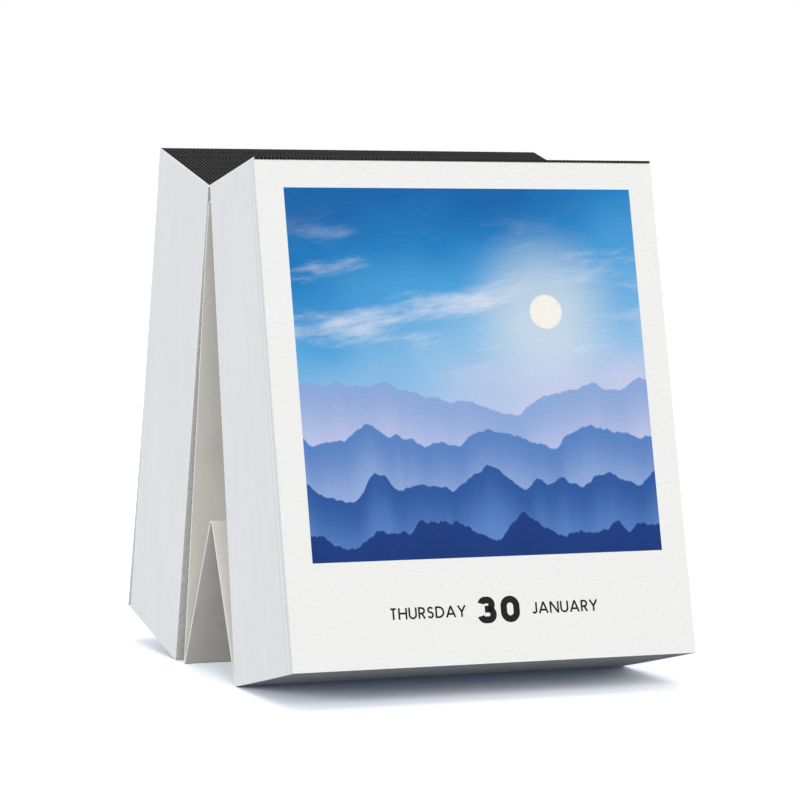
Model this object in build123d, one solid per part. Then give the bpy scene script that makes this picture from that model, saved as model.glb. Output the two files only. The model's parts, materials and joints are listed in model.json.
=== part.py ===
from build123d import *
import os
from math import asin, atan2, cos, degrees, hypot, radians, sin

# Tear off day calendar: two half-year pads of day sheets that lean together as a desk easel.
# Units are millimetres. +Z is up, the table is z = 0, +X is to the right and the front pad faces -Y.
# Each pad is a grey backing board, a sheet for every day left, with the outer leaves loose, a film of
# padding glue along the top edges and a strip of book cloth over it. The cloth bends at the valley
# between the pads, which is the hinge of the easel. A folded card stand is taped between the boards:
# two legs, and two strut panels that meet at a peak between the feet. The front leg lies along its
# board; the rear one is taped at the top only and stands off its board at the foot.

# Sheet of paper
SHEET_WIDTH = 90.0
SHEET_HEIGHT = 104.4
PAPER = 0.165

# Day sheets left in each month, from the board outwards, without the loose outer leaves
FRONT_MONTHS = {"june": 30, "may": 31, "april": 30, "march": 31, "february": 28}
REAR_MONTHS = {"december": 31, "november": 30, "october": 31, "september": 30, "august": 31, "july": 30}
FRONT_LEAVES = ["tomorrow_sheet", "today_sheet"]
REAR_LEAVES = ["first_july_sheet"]

# Room that one sheet takes at the glued top of a pad
SHEET_PITCH = 0.17

# Degrees that a pad's sheets spread from the board to the outer leaf, and that its top face rises:
# the front pad is in use and has loosened at the foot, the rear one is still tight
FRONT_FAN = 4.0
REAR_FAN = 0.0
TOP_RISE = 3.5

# Backing board, book cloth, padding glue, and how far below the glue a loose leaf starts
BOARD = 0.8
CLOTH = 0.45
GLUE = 0.15
LEAF_DROP = 0.15

# Easel: lean of each board from the vertical, and room between the boards at the valley
LEG_ANGLE = 9.95
VALLEY_GAP = 0.9

# Folded card stand, how far its rear foot stands off the board, and the tape that holds it
CARD = 0.4
CARD_INSET = 0.3
STAND_OFF = 4.3
APEX_FOLD_GAP = 1.2
FOOT_RISE = 0.4
PEAK_HEIGHT = 32.0
OPEN_FOLD_GAP = 0.8
TAPE = 0.1
TAPE_WIDTH = 6.0
TAPE_MARGIN = 1.5

# Derived sizes
CARD_WIDTH = SHEET_WIDTH - 2 * CARD_INSET
BINDING = CLOTH + GLUE
TOP_ANGLE = LEG_ANGLE + TOP_RISE
VALLEY_HEIGHT = SHEET_HEIGHT * cos(radians(LEG_ANGLE)) + BINDING * cos(radians(TOP_ANGLE))

# Card legs: from the apex fold, past the upper tape, down to the foot folds just clear of the table
LEG_FACE = TAPE + CARD
APEX_SETBACK = (APEX_FOLD_GAP - VALLEY_GAP) / 2 + LEG_FACE * cos(radians(LEG_ANGLE))
LEG_START = APEX_SETBACK / sin(radians(LEG_ANGLE))
LEG_BEND = LEG_START + TAPE_WIDTH + 2 * TAPE_MARGIN


def down(point, lean, distance):
    """Point that lies a distance down a line that leans out, towards -Y, from the vertical."""
    return (point[0] - distance * sin(radians(lean)), point[1] - distance * cos(radians(lean)))


def out(point, lean, distance):
    """Point that lies a distance out from a leaning line, square to it."""
    return (point[0] - distance * cos(radians(lean)), point[1] + distance * sin(radians(lean)))


class Pad:
    """Section of one pad, drawn as it faces -Y, with the valley fold at y = 0."""

    def __init__(self, months, leaves, fan, stand_off):
        self.months = months
        self.leaves = leaves
        self.fan = fan
        self.stand_off = stand_off
        self.block_depth = BOARD + SHEET_PITCH * sum(months.values())
        self.depth = self.block_depth + PAPER * len(leaves)
        foot_face = LEG_FACE + stand_off
        foot_drop = FOOT_RISE + foot_face * sin(radians(LEG_ANGLE))
        self.leg_end = SHEET_HEIGHT - foot_drop / cos(radians(LEG_ANGLE))
        self.foot_fold = self.on_leg(self.leg_end, LEG_FACE)

    def lean(self, depth):
        """Lean of the sheet that lies at a depth from the board's inner face."""
        share = (depth - BOARD) / (self.block_depth - BOARD)
        return LEG_ANGLE + self.fan * min(max(share, 0), 1)

    def below_top(self, depth, distance):
        """Point under the pad's top face."""
        corner = (-VALLEY_GAP / 2, VALLEY_HEIGHT)
        return down(out(corner, TOP_ANGLE, depth), TOP_ANGLE, distance)

    def on_sheet(self, depth, distance):
        """Point down the sheet that lies at a depth."""
        return down(self.below_top(depth, BINDING), self.lean(depth), distance)

    def on_board(self, distance, proud):
        """Point down the board's inner face, standing proud of it towards the other pad."""
        return out(self.on_sheet(0, distance), LEG_ANGLE, -proud)

    def on_leg(self, distance, face):
        """Point down the card leg, which lies along the board as far as its bend."""
        share = max((distance - LEG_BEND) / (self.leg_end - LEG_BEND), 0)
        return self.on_board(distance, face + self.stand_off * share)

    def sheet(self, depth, thickness, start=0):
        """Outline of a board or sheet whose inner face lies at a depth, and which starts below the glue."""
        lean = self.lean(depth)
        inner = self.below_top(depth, BINDING)
        outer = self.below_top(depth + thickness, BINDING)
        return [
            down(inner, lean, start),
            down(outer, lean, start),
            down(outer, lean, SHEET_HEIGHT),
            down(inner, lean, SHEET_HEIGHT),
        ]

    def top_strip(self, depth, upper, lower):
        """Outline of a thin strip along the top face, from the valley out to a depth."""
        return [
            self.below_top(0, upper),
            self.below_top(depth, upper),
            self.below_top(depth, lower),
            self.below_top(0, lower),
        ]

    def leg(self):
        """Outline of the card leg, from the apex fold down to the foot fold."""
        marks = [LEG_START, self.leg_end]
        if self.stand_off:
            marks.insert(1, LEG_BEND)
        outer = [self.on_leg(mark, TAPE) for mark in marks]
        inner = [self.on_leg(mark, LEG_FACE) for mark in marks]
        return outer + inner[::-1]

    def tape(self, start):
        """Outline of a strip of tape on the board's inner face."""
        end = start + TAPE_WIDTH
        return [
            self.on_board(start, 0),
            self.on_board(end, 0),
            self.on_board(end, TAPE),
            self.on_board(start, TAPE),
        ]


front = Pad(FRONT_MONTHS, FRONT_LEAVES, FRONT_FAN, 0)
rear = Pad(REAR_MONTHS, REAR_LEAVES, REAR_FAN, STAND_OFF)

# The origin lies under the middle of the easel's depth, so the valley stands a little off it
FRONT_REACH = -front.on_sheet(front.depth, SHEET_HEIGHT)[0]
REAR_REACH = -rear.on_sheet(rear.depth, SHEET_HEIGHT)[0]
VALLEY_Y = (FRONT_REACH - REAR_REACH) / 2

# Strut panels: equal, each turning on its outer face at a foot fold and on its inner face at the peak
HALF_STRIDE = -(front.foot_fold[0] + rear.foot_fold[0]) / 2
STRUT_RISE = PEAK_HEIGHT - FOOT_RISE
STRUT_SPAN = hypot(HALF_STRIDE, STRUT_RISE)
STRUT_LEAN = atan2(HALF_STRIDE, STRUT_RISE) - asin(CARD / STRUT_SPAN)


def side_of(pad, outline):
    """Outline in the shared frame: as drawn for the front pad, mirrored for the rear one."""
    way = 1 if pad is front else -1
    return [(way * y + VALLEY_Y, z) for y, z in outline]


def prism(pad, outline, width):
    """Solid with an outline of one pad's section, centred on X."""
    face = make_face(Polyline(*[(0, y, z) for y, z in side_of(pad, outline)], close=True))
    return extrude(face, amount=width / 2, dir=(1, 0, 0), both=True)


def pad_pieces(pad, side):
    """Board, day sheets by month, outer leaves, glue film and cloth of one pad."""
    pieces = {f"{side}_backing_board": prism(pad, pad.sheet(0, BOARD), SHEET_WIDTH)}
    depth = BOARD
    for month, count in pad.months.items():
        days = [pad.sheet(depth + day * SHEET_PITCH, PAPER) for day in range(count)]
        pieces[f"{month}_sheets"] = Compound(children=[prism(pad, day, SHEET_WIDTH) for day in days])
        depth += count * SHEET_PITCH
    for leaf in pad.leaves:
        pieces[leaf] = prism(pad, pad.sheet(depth, PAPER, LEAF_DROP), SHEET_WIDTH)
        depth += PAPER
    glue = pad.top_strip(pad.block_depth, CLOTH, BINDING)
    cloth = pad.top_strip(pad.depth, 0, CLOTH)
    pieces[f"{side}_binding_glue"] = prism(pad, glue, SHEET_WIDTH)
    pieces[f"{side}_spine_cloth"] = prism(pad, cloth, SHEET_WIDTH)
    return pieces


def leg_pieces(pad, side):
    """Card leg of one pad, and the tape that holds it to the board wherever it lies along it."""
    starts = [LEG_START + TAPE_MARGIN]
    if not pad.stand_off:
        starts.append(pad.leg_end - TAPE_MARGIN - TAPE_WIDTH)
    strips = [prism(pad, pad.tape(start), CARD_WIDTH - 2 * TAPE_MARGIN) for start in starts]
    leg = prism(pad, pad.leg(), CARD_WIDTH)
    return {f"stand_{side}_leg": leg, f"{side}_leg_tape": Compound(children=strips)}


def peak_fold(pad):
    """Peak of the strut, half a stride in from the foot fold."""
    return (pad.foot_fold[0] + HALF_STRIDE, PEAK_HEIGHT)


def strut_panel(pad, foot_gap):
    """Strut panel from a foot fold up to the peak fold, cut short at the foot by a gap."""
    lean = degrees(STRUT_LEAN)
    inner_top = peak_fold(pad)
    outer_top = out(inner_top, lean, CARD)
    length = STRUT_SPAN * cos(asin(CARD / STRUT_SPAN)) - foot_gap
    outline = [inner_top, outer_top, down(outer_top, lean, length), down(inner_top, lean, length)]
    return prism(pad, outline, CARD_WIDTH)


pieces = {}
for pad, side in ((front, "front"), (rear, "rear")):
    pieces.update(pad_pieces(pad, side))
    pieces.update(leg_pieces(pad, side))
pieces["strut_front_panel"] = strut_panel(front, 0)
pieces["strut_rear_panel"] = strut_panel(rear, OPEN_FOLD_GAP)

os.makedirs("parts", exist_ok=True)
for name, piece in pieces.items():
    export_step(piece, f"parts/{name}.step")

# Lines, along X, about which the pieces turn
folds = {
    "valley fold": side_of(front, [(0, VALLEY_HEIGHT)]),
    "front foot fold": side_of(front, [front.foot_fold]),
    "rear foot fold": side_of(rear, [rear.foot_fold]),
    "peak fold": side_of(front, [peak_fold(front)]),
    "tomorrow leaf": side_of(front, [front.on_sheet(front.depth - PAPER, LEAF_DROP)]),
    "today leaf": side_of(front, [front.on_sheet(front.depth, LEAF_DROP)]),
    "rear leaf": side_of(rear, [rear.on_sheet(rear.depth, LEAF_DROP)]),
    "rear leaf face": side_of(rear, [rear.on_sheet(rear.depth, SHEET_HEIGHT / 2)]),
}
for name, (point,) in folds.items():
    print(f"{name}: y {point[0]:.4f} z {point[1]:.4f}")
print(f"pad depths: front {front.depth:.3f} rear {rear.depth:.3f}")
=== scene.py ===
"""Looks of a tear off day calendar: two pads of day sheets that stand as an easel on a folded card.

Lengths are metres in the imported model's frame: +Z up, +X to the right, and the front pad faces -Y.
"""

import json
import logging
import math
import random
from abc import ABC, abstractmethod
from dataclasses import dataclass
from enum import Enum
from typing import Any

import bmesh
import bpy
from mathutils import Matrix, Vector

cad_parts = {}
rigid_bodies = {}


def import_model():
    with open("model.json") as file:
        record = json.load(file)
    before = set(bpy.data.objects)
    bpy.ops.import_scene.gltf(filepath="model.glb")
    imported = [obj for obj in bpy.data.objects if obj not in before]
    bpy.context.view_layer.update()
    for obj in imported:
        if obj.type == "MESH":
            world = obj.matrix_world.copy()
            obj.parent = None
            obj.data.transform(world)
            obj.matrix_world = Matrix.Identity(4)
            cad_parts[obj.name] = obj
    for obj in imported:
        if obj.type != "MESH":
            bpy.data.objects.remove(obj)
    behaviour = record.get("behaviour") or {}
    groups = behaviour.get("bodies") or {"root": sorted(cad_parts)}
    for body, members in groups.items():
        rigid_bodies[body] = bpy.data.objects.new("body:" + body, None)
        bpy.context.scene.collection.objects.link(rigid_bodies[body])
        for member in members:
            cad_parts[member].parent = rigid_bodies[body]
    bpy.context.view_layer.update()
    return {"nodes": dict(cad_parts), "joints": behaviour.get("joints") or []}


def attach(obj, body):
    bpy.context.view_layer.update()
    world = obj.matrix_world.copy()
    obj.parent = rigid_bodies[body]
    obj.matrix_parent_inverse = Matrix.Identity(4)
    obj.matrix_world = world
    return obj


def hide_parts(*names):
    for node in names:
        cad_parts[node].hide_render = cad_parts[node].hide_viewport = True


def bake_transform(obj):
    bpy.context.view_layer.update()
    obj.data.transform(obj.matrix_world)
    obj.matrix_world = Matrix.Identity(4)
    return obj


LOG = logging.getLogger("day_calendar")
MM = 0.001
MERGE = 0.001 * MM
FLAT_TURN = math.radians(0.5)
SHARP_TURN = math.radians(60)
BEVEL_SEGMENTS = 2
CUT_SOLID, CUT_FADED = 0.04 * MM, 0.1 * MM
BOW_STEP, LEAST_BOW_STEPS = 9, 6
PRINT_MAP = "print"
WEAVE_MAP = "weave"
SHEET_TONE_AND_SHADE_LAYER = "sheet_tone_and_painted_shade"

Colour = tuple[float, float, float, float]
Pair = tuple[float, float]
Triple = tuple[float, float, float]
Material = bpy.types.Material
Mesh = bmesh.types.BMesh
Piece = bpy.types.Object
Nodes = dict[str, Piece]
Socket = bpy.types.NodeSocket


def tone(red: int, green: int, blue: int) -> Colour:
    """Linear colour of an eight-bit screen colour.

    Args:
        red: Red level, from 0 to 255.
        green: Green level, from 0 to 255.
        blue: Blue level, from 0 to 255.

    Returns:
        The colour as a shader socket takes it.
    """
    shares = [level / 255 for level in (red, green, blue)]
    linear = [share / 12.92 if share <= 0.04045 else ((share + 0.055) / 1.055) ** 2.4 for share in shares]
    return (*linear, 1.0)


class Side(Enum):
    """Pad that a piece belongs to; its value is the way that the pad faces along Y."""

    FRONT = -1
    REAR = 1


class NodeBench:
    """Node tree of one material, with its principled shader."""

    def __init__(self, name: str) -> None:
        """Start a material under a name."""
        self.material = bpy.data.materials.new(name)
        self.material.use_nodes = True
        self.tree = self.material.node_tree
        self.shader = self.tree.nodes["Principled BSDF"]

    def put(self, socket: Socket, value: Any) -> None:
        """Link an output to a socket, or set the socket's own value.

        Args:
            socket: Input that gets the value.
            value: Output socket, number, vector or colour.
        """
        if isinstance(value, Socket):
            self.tree.links.new(value, socket)
        else:
            socket.default_value = value

    def node(self, kind: str, inputs: dict[str | int, Any], **settings: Any) -> bpy.types.Node:
        """Add a node.

        Args:
            kind: Node type.
            inputs: Value or output for each input, by name or number.
            settings: Properties of the node.

        Returns:
            The node.
        """
        made = self.tree.nodes.new(kind)
        for key, value in settings.items():
            setattr(made, key, value)
        for key, value in inputs.items():
            self.put(made.inputs[key], value)
        return made

    def place(self, scale: Triple = (1.0, 1.0, 1.0), turn: float = 0.0, uv: str = "") -> Socket:
        """Coordinates on a piece, turned about Z and scaled.

        Args:
            scale: Pattern units in each metre, or in each unit of the UV map.
            turn: Angle in radians.
            uv: UV map to read; without it, object coordinates are read.

        Returns:
            Vector output.
        """
        if uv:
            source = self.node("ShaderNodeUVMap", {}, uv_map=uv).outputs["UV"]
        else:
            source = self.node("ShaderNodeTexCoord", {}).outputs["Object"]
        turned = self.node("ShaderNodeMapping", {"Vector": source, "Rotation": (0.0, 0.0, turn)})
        scaled = self.node("ShaderNodeMapping", {"Vector": turned.outputs["Vector"], "Scale": scale})
        return scaled.outputs["Vector"]

    def noise(self, vector: Any, scale: float, detail: float = 2.0, rough: float = 0.5) -> Socket:
        """Value of a noise at a vector, from 0 to 1 and mostly near 0.5."""
        inputs = {"Vector": vector, "Scale": scale, "Detail": detail, "Roughness": rough}
        return self.node("ShaderNodeTexNoise", inputs).outputs[0]

    def stripes(self, vector: Any, period: float, wobble: float = 0.0) -> Socket:
        """Soft stripes across the X direction of a vector.

        Args:
            vector: Coordinates.
            period: Distance from stripe to stripe, in the coordinates' units.
            wobble: Unevenness.

        Returns:
            Output from 0 to 1.
        """
        wave_periods = math.tau / 20
        inputs = {"Vector": vector, "Scale": wave_periods / period, "Distortion": wobble, "Detail": 1.0}
        wave = self.node("ShaderNodeTexWave", inputs, wave_type="BANDS", bands_direction="X")
        return wave.outputs[1]

    def span(self, value: Any, low: float, high: float, bottom: float = 0.0, top: float = 1.0) -> Any:
        """Value moved smoothly from one span to another.

        Args:
            value: Value to move.
            low: Value that gives the bottom.
            high: Value that gives the top.
            bottom: Least result.
            top: Greatest result.

        Returns:
            Output socket.
        """
        inputs = {"Value": value, "From Min": low, "From Max": high, "To Min": bottom, "To Max": top}
        made = self.node("ShaderNodeMapRange", inputs, interpolation_type="SMOOTHSTEP")
        return made.outputs["Result"]

    def calc(self, kind: str, first: Any, second: Any) -> Socket:
        """Result of a math node."""
        return self.node("ShaderNodeMath", {0: first, 1: second}, operation=kind).outputs[0]

    def blend(self, share: Any, first: Any, second: Any) -> Socket:
        """Colour that goes from a first to a second one with a share."""
        inputs = {0: share, 6: first, 7: second}
        return self.node("ShaderNodeMix", inputs, data_type="RGBA").outputs[2]

    def ramp(self, value: Any, stops: tuple[tuple[float, Colour], ...]) -> Socket:
        """Colour along a ramp.

        Args:
            value: Place on the ramp.
            stops: Places from 0 to 1, in rising order, with their colours.

        Returns:
            Colour output.
        """
        made = self.node("ShaderNodeValToRGB", {"Fac": value})
        elements = made.color_ramp.elements
        while len(elements) < len(stops):
            elements.new(1.0)
        for element, (position, colour) in zip(elements, stops):
            element.position = position
            element.color = colour
        return made.outputs["Color"]

    def cut_side(self, side: float) -> Socket:
        """Share that is 1 on the cut faces at a piece's left and right.

        Args:
            side: Distance of the cut faces from the middle.

        Returns:
            Output from 0 to 1.
        """
        place = self.node("ShaderNodeTexCoord", {}).outputs["Object"]
        across = self.node("ShaderNodeSeparateXYZ", {"Vector": place}).outputs["X"]
        inside = self.calc("SUBTRACT", side, self.calc("ABSOLUTE", across, 0.0))
        return self.span(inside, CUT_FADED, CUT_SOLID)

    def bump(self, height: Any, depth: float, strength: float = 1.0, under: Any = None) -> Any:
        """Normal of a surface with a relief.

        Args:
            height: Relief from 0 to 1.
            depth: Height of the relief in metres.
            strength: Share of the relief that shows.
            under: Normal of a coarser relief under this one.

        Returns:
            Normal output.
        """
        inputs = {"Height": height, "Distance": depth, "Strength": strength}
        if under is not None:
            inputs["Normal"] = under
        return self.node("ShaderNodeBump", inputs).outputs["Normal"]

    def finish(self, colour: Any, roughness: Any, normal: Any = None) -> Material:
        """Feed the shader.

        Args:
            colour: Base colour.
            roughness: Roughness.
            normal: Normal of the relief.

        Returns:
            The finished material.
        """
        self.put(self.shader.inputs["Base Color"], colour)
        self.put(self.shader.inputs["Roughness"], roughness)
        if normal is not None:
            self.put(self.shader.inputs["Normal"], normal)
        return self.material


@dataclass(frozen=True)
class Finish(ABC):
    """Finish of one material."""

    name: str
    colour: Colour
    shade: Colour
    roughness: float
    gloss: float = 0.2

    @abstractmethod
    def material(self) -> Material:
        """Make the material."""

    def bench(self) -> NodeBench:
        """Start the finish's node tree."""
        bench = NodeBench(self.name)
        bench.shader.inputs["Specular IOR Level"].default_value = self.gloss
        return bench


@dataclass(frozen=True)
class FeltPaper(Finish):
    """Uncoated off-white paper with the short dents of a felt finish."""

    name: str = "felt_paper"
    colour: Colour = tone(247, 246, 244)
    shade: Colour = tone(242, 241, 238)
    roughness: float = 0.86
    dent_width: float = 1.0 * MM
    dent_height: float = 0.42 * MM
    dent_depth: float = 0.028 * MM
    fibre: float = 0.12 * MM
    fibre_depth: float = 0.01 * MM
    cloud: float = 9.0 * MM

    def relief(self, bench: NodeBench) -> tuple[Any, Any]:
        """Dents of the felt and the normal that they give.

        Args:
            bench: Node tree of the material.

        Returns:
            Dents from 0 to 1, and the normal.
        """
        place = bench.place((1 / self.dent_width, 1 / self.dent_height, 1 / self.dent_height))
        dents = bench.span(bench.noise(place, 1.0, 1.5, 0.55), 0.3, 0.54)
        fibres = bench.noise(bench.place(), 1 / self.fibre, 2.0)
        normal = bench.bump(dents, self.dent_depth, 0.8)
        return dents, bench.bump(fibres, self.fibre_depth, 0.5, normal)

    def material(self) -> Material:
        """Make the material."""
        bench = self.bench()
        dents, normal = self.relief(bench)
        cloudy = bench.noise(bench.place(), 1 / self.cloud, 3.0)
        mottled = bench.calc("MULTIPLY", dents, 0.6)
        shares = bench.calc("ADD", mottled, bench.span(cloudy, 0.35, 0.65, 0.15, 0.4))
        colour = bench.blend(shares, self.shade, self.colour)
        roughness = bench.span(dents, 0.0, 1.0, self.roughness + 0.06, self.roughness - 0.04)
        return bench.finish(colour, roughness, normal)


@dataclass(frozen=True)
class CutPaper(Finish):
    """Stack of trimmed sheets, each a little lighter or darker than its neighbours, a few painted darker as
    gap shade.
    """

    name: str = "cut_paper_painted_cool_shade"
    # Colour and shade make the cut edges a little greyer and cooler than the face paper: painted shade with a
    # cool tint for the light on the pads' sides.
    colour: Colour = tone(249, 251, 252)
    shade: Colour = tone(206, 211, 215)
    roughness: float = 0.88
    gloss: float = 0.0
    fibre: float = 0.3 * MM
    fibre_depth: float = 0.008 * MM
    cloud: float = 6.0 * MM

    def material(self) -> Material:
        """Make the material."""
        bench = self.bench()
        # Each sheet's random tone, with painted shade on the few sheets that stand for gaps between bundles.
        sheet = bench.node("ShaderNodeAttribute", {}, attribute_name=SHEET_TONE_AND_SHADE_LAYER).outputs["Fac"]
        place = bench.place((1.0, 1.0, 0.25))
        fibres = bench.noise(place, 1 / self.fibre, 3.0, 0.6)
        cloudy = bench.noise(bench.place((1.0, 1.0, 0.4)), 1 / self.cloud, 2.0)
        share = bench.calc("ADD", sheet, bench.span(fibres, 0.3, 0.7, -0.025, 0.025))
        share = bench.calc("ADD", share, bench.span(cloudy, 0.3, 0.7, -0.03, 0.03))
        colour = bench.blend(share, self.shade, self.colour)
        roughness = bench.span(fibres, 0.3, 0.7, self.roughness - 0.05, self.roughness + 0.05)
        return bench.finish(colour, roughness, bench.bump(fibres, self.fibre_depth, 0.5))


@dataclass(frozen=True)
class BookCloth(Finish):
    """Charcoal book cloth: ribs from front to rear, darker rows of slubs, and pale paper at its cut sides."""

    name: str = "book_cloth"
    colour: Colour = tone(79, 79, 77)
    shade: Colour = tone(18, 18, 20)
    roughness: float = 0.95
    gloss: float = 0.0
    rib: float = 0.85 * MM
    pick: float = 0.3 * MM
    row: float = 1.2 * MM
    slub: float = 0.8 * MM
    lint: float = 0.3 * MM
    lint_colour: Colour = tone(110, 109, 106)
    depth: float = 0.05 * MM
    side: float = 45.0 * MM
    side_colour: Colour = tone(250, 251, 251)

    def material(self) -> Material:
        """Make the material."""
        bench = self.bench()
        ribs = bench.stripes(bench.place(uv=WEAVE_MAP), self.rib, 0.4)
        picks = bench.stripes(bench.place(turn=math.radians(-90), uv=WEAVE_MAP), self.pick, 0.8)
        height = bench.calc("ADD", bench.calc("MULTIPLY", ribs, 0.85), bench.calc("MULTIPLY", picks, 0.15))
        colour = bench.blend(bench.span(height, 0.2, 0.85), self.shade, self.colour)
        rows = bench.noise(bench.place((3.0, 1 / self.row, 1.0), 0.0, WEAVE_MAP), 1.0, 0.0)
        broken = bench.noise(bench.place((1.0, 0.5, 1.0), 0.0, WEAVE_MAP), 1 / self.slub, 1.0)
        slubs = bench.calc("MULTIPLY", bench.span(rows, 0.6, 0.68), bench.span(broken, 0.35, 0.6, 0.2, 0.8))
        colour = bench.blend(slubs, colour, self.shade)
        lint = bench.noise(bench.place(uv=WEAVE_MAP), 1 / self.lint, 1.0)
        dots = bench.calc("MULTIPLY", bench.span(lint, 0.62, 0.7), bench.span(rows, 0.52, 0.66, 0.25, 1.0))
        colour = bench.blend(dots, colour, self.lint_colour)
        colour = bench.blend(bench.cut_side(self.side), colour, self.side_colour)
        return bench.finish(colour, self.roughness, bench.bump(height, self.depth, 0.7))


@dataclass(frozen=True)
class GreyBoard(Finish):
    """Unlined grey board with fibres and flecks of pulp."""

    name: str = "grey_board"
    colour: Colour = tone(228, 228, 226)
    shade: Colour = tone(198, 198, 196)
    roughness: float = 0.92
    gloss: float = 0.0
    side: float = 45.0 * MM
    side_colour: Colour = tone(244, 246, 247)
    fibre: float = 0.3 * MM
    fibre_depth: float = 0.03 * MM
    fleck: float = 0.5 * MM
    dark_fleck: Colour = tone(126, 125, 123)
    pale_fleck: Colour = tone(214, 213, 209)

    def material(self) -> Material:
        """Make the material."""
        bench = self.bench()
        fibres = bench.noise(bench.place((1.0, 1.0, 0.45)), 1 / self.fibre, 4.0, 0.65)
        cross = bench.noise(bench.place((0.4, 1.0, 1.0)), 1 / self.fibre, 4.0, 0.65)
        pulp = bench.calc("MULTIPLY", bench.calc("ADD", fibres, cross), 0.5)
        flecks = bench.noise(bench.place(), 1 / self.fleck, 2.0, 0.7)
        colour = bench.blend(bench.span(pulp, 0.36, 0.64), self.shade, self.colour)
        colour = bench.blend(bench.span(flecks, 0.64, 0.74, 0.0, 0.4), colour, self.dark_fleck)
        colour = bench.blend(bench.span(flecks, 0.36, 0.26, 0.0, 0.4), colour, self.pale_fleck)
        colour = bench.blend(bench.cut_side(self.side), colour, self.side_colour)
        return bench.finish(colour, self.roughness, bench.bump(pulp, self.fibre_depth, 0.7))


@dataclass(frozen=True)
class FoldingCard(Finish):
    """Cream uncoated card; a paler copy of it on the cut edges is a painted highlight for the light that they
    catch.
    """

    name: str = "folding_card"
    colour: Colour = tone(237, 235, 229)
    shade: Colour = tone(227, 225, 218)
    roughness: float = 0.8
    fibre: float = 0.25 * MM
    fibre_depth: float = 0.012 * MM
    cloud: float = 7.0 * MM

    def material(self) -> Material:
        """Make the material."""
        bench = self.bench()
        fibres = bench.noise(bench.place(), 1 / self.fibre, 3.0, 0.6)
        cloudy = bench.noise(bench.place(), 1 / self.cloud, 3.0)
        halves = [bench.span(pattern, 0.35, 0.65, 0.0, 0.5) for pattern in (fibres, cloudy)]
        share = bench.calc("ADD", *halves)
        colour = bench.blend(share, self.shade, self.colour)
        roughness = bench.span(fibres, 0.3, 0.7, self.roughness - 0.06, self.roughness + 0.06)
        return bench.finish(colour, roughness, bench.bump(fibres, self.fibre_depth, 0.5))


@dataclass(frozen=True)
class DriedGlue(Finish):
    """White padding glue, or tissue tape: a thin smooth film with faint brush lines."""

    name: str = "padding_glue"
    colour: Colour = tone(244, 245, 244)
    shade: Colour = tone(234, 235, 233)
    roughness: float = 0.42
    brush: float = 0.5 * MM
    brush_depth: float = 0.02 * MM

    def material(self) -> Material:
        """Make the material."""
        bench = self.bench()
        lines = bench.noise(bench.place((0.08, 1.0, 1.0)), 1 / self.brush, 3.0, 0.6)
        colour = bench.blend(bench.span(lines, 0.35, 0.65), self.shade, self.colour)
        roughness = bench.span(lines, 0.3, 0.7, self.roughness - 0.08, self.roughness + 0.12)
        return bench.finish(colour, roughness, bench.bump(lines, self.brush_depth, 0.6))


@dataclass(frozen=True)
class DateInk(Finish):
    """Near-black ink that lets a little of the paper's tooth through."""

    name: str = "date_ink"
    colour: Colour = tone(22, 22, 23)
    shade: Colour = tone(8, 8, 9)
    roughness: float = 0.7
    tooth: float = 0.14 * MM

    def material(self) -> Material:
        """Make the material."""
        bench = self.bench()
        tooth = bench.noise(bench.place(), 1 / self.tooth, 3.0, 0.6)
        colour = bench.blend(bench.span(tooth, 0.4, 0.7), self.shade, self.colour)
        roughness = bench.span(tooth, 0.3, 0.7, self.roughness - 0.08, self.roughness + 0.08)
        return bench.finish(colour, roughness)


@dataclass(frozen=True)
class Ridge:
    """Line of hills in a picture, in shares of the picture's sides."""

    base: float
    rise: float
    waves: float
    start: float
    crest: Colour
    mist: Colour


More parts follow.
